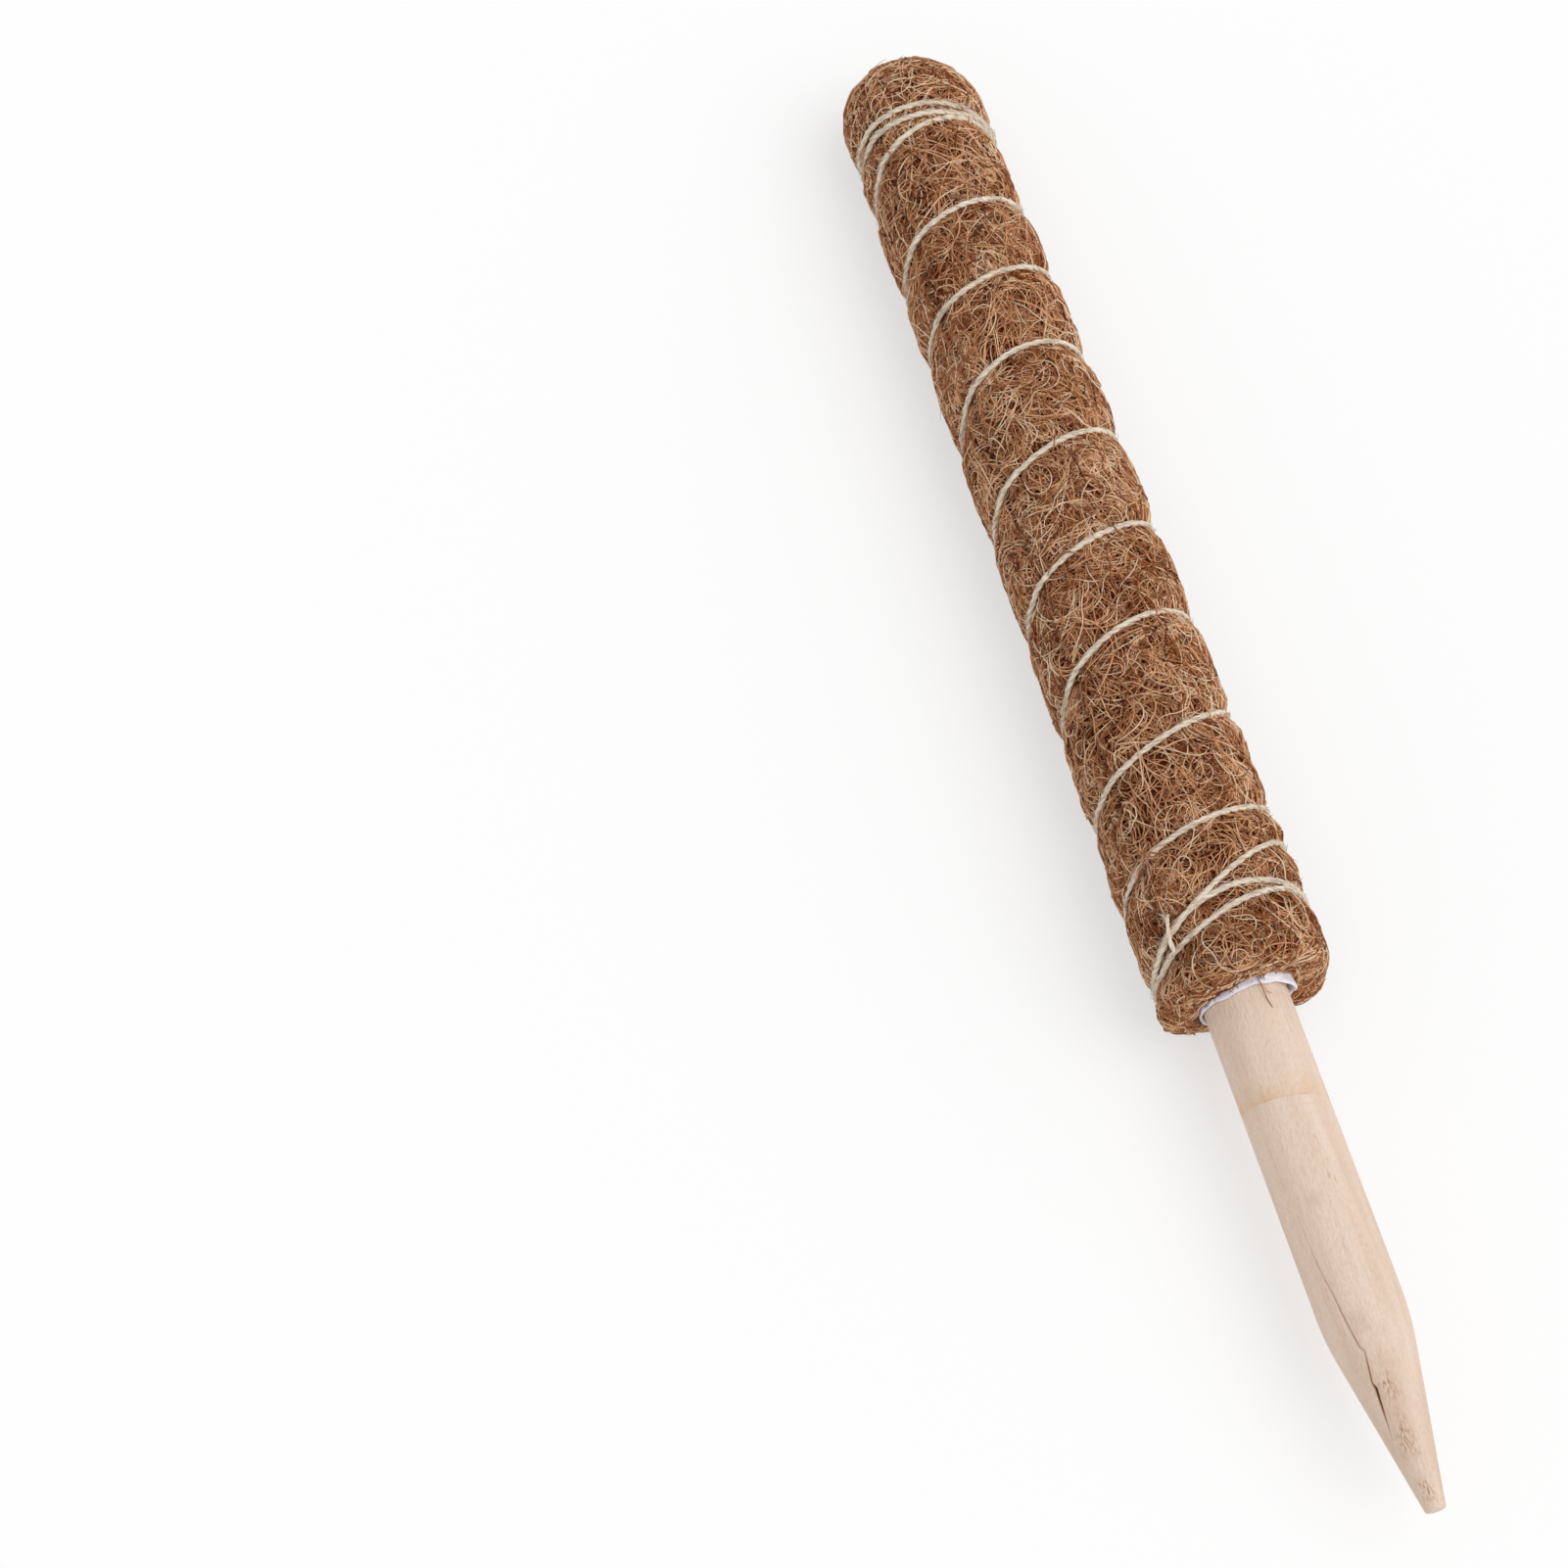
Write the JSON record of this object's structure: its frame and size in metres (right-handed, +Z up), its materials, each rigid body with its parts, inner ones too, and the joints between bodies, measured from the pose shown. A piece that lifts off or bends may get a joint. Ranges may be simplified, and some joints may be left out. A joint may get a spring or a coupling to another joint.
{
  "type": "moss pole",
  "caption": "Short coir moss pole for climbing houseplants: a fibre mat rolled round a plastic tube, bound with jute twine, on a pointed wooden stake that pulls out of the tube.",
  "frame": {"origin": "on the floor, under the middle of the whole pole's box, with the pole lying on its side", "axes": "+X along the pole from the stake's tip to the domed top, +Z up"},
  "size_m": [0.3, 0.0316, 0.0315],
  "materials": {
    "stake_wood": "bare turned softwood, fine lengthwise grain",
    "tube_plastic": "thin white extruded plastic with a cut rim",
    "coir_fibre": "needled mat of loose coconut fibres",
    "jute_twine": "two-ply natural jute, slightly hairy"
  },
  "bodies": {
    "pole": {"core_tube": "tube_plastic", "coir_mat": "coir_fibre", "spiral_twine": "jute_twine", "top_tie": "jute_twine", "bottom_tie": "jute_twine", "bottom_tie_tail": "jute_twine"},
    "stake": {"stake": "stake_wood"}
  },
  "joints": [
    {"name": "stake_pull", "type": "slide", "parent": "pole", "child": "stake", "axis": [-0.9999, 0, 0.0134], "range_m": [0, 0.06]}
  ]
}
